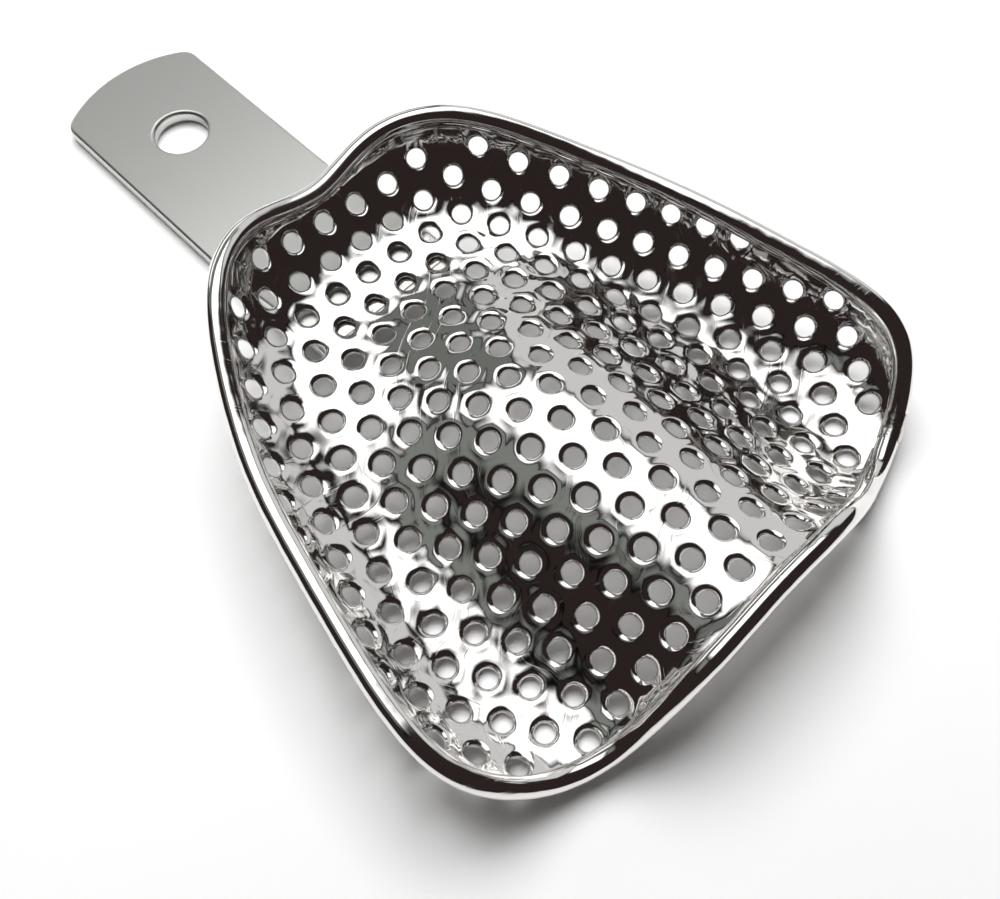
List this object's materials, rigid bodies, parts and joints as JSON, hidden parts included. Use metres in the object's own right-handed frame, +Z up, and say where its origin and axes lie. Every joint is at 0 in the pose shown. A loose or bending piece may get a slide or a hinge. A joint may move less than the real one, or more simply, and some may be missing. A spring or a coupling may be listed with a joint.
{
  "type": "dental impression tray",
  "caption": "Perforated stainless upper-jaw impression tray: horseshoe trough round a raised palate, wire-bound rim and a flat handle with a hanging hole.",
  "frame": {"origin": "on the surface it stands on, under the middle of the tray's whole length and width", "axes": "+Z up; -Y towards the handle's end; X across the jaw"},
  "size_m": [0.06, 0.0968, 0.0145],
  "materials": {
    "polished_sheet": "mirror-polished stainless steel sheet, perforated",
    "polished_wire": "polished stainless steel round wire",
    "solder": "dressed silver solder",
    "satin_bar": "satin stainless steel bar"
  },
  "bodies": {
    "root": {"tray_bowl": "polished_sheet", "rim_wire": "polished_wire", "rim_wire_joint": "solder", "rim_seam": "solder", "handle_bar": "satin_bar", "handle_braze": "solder"}
  },
  "joints": []
}
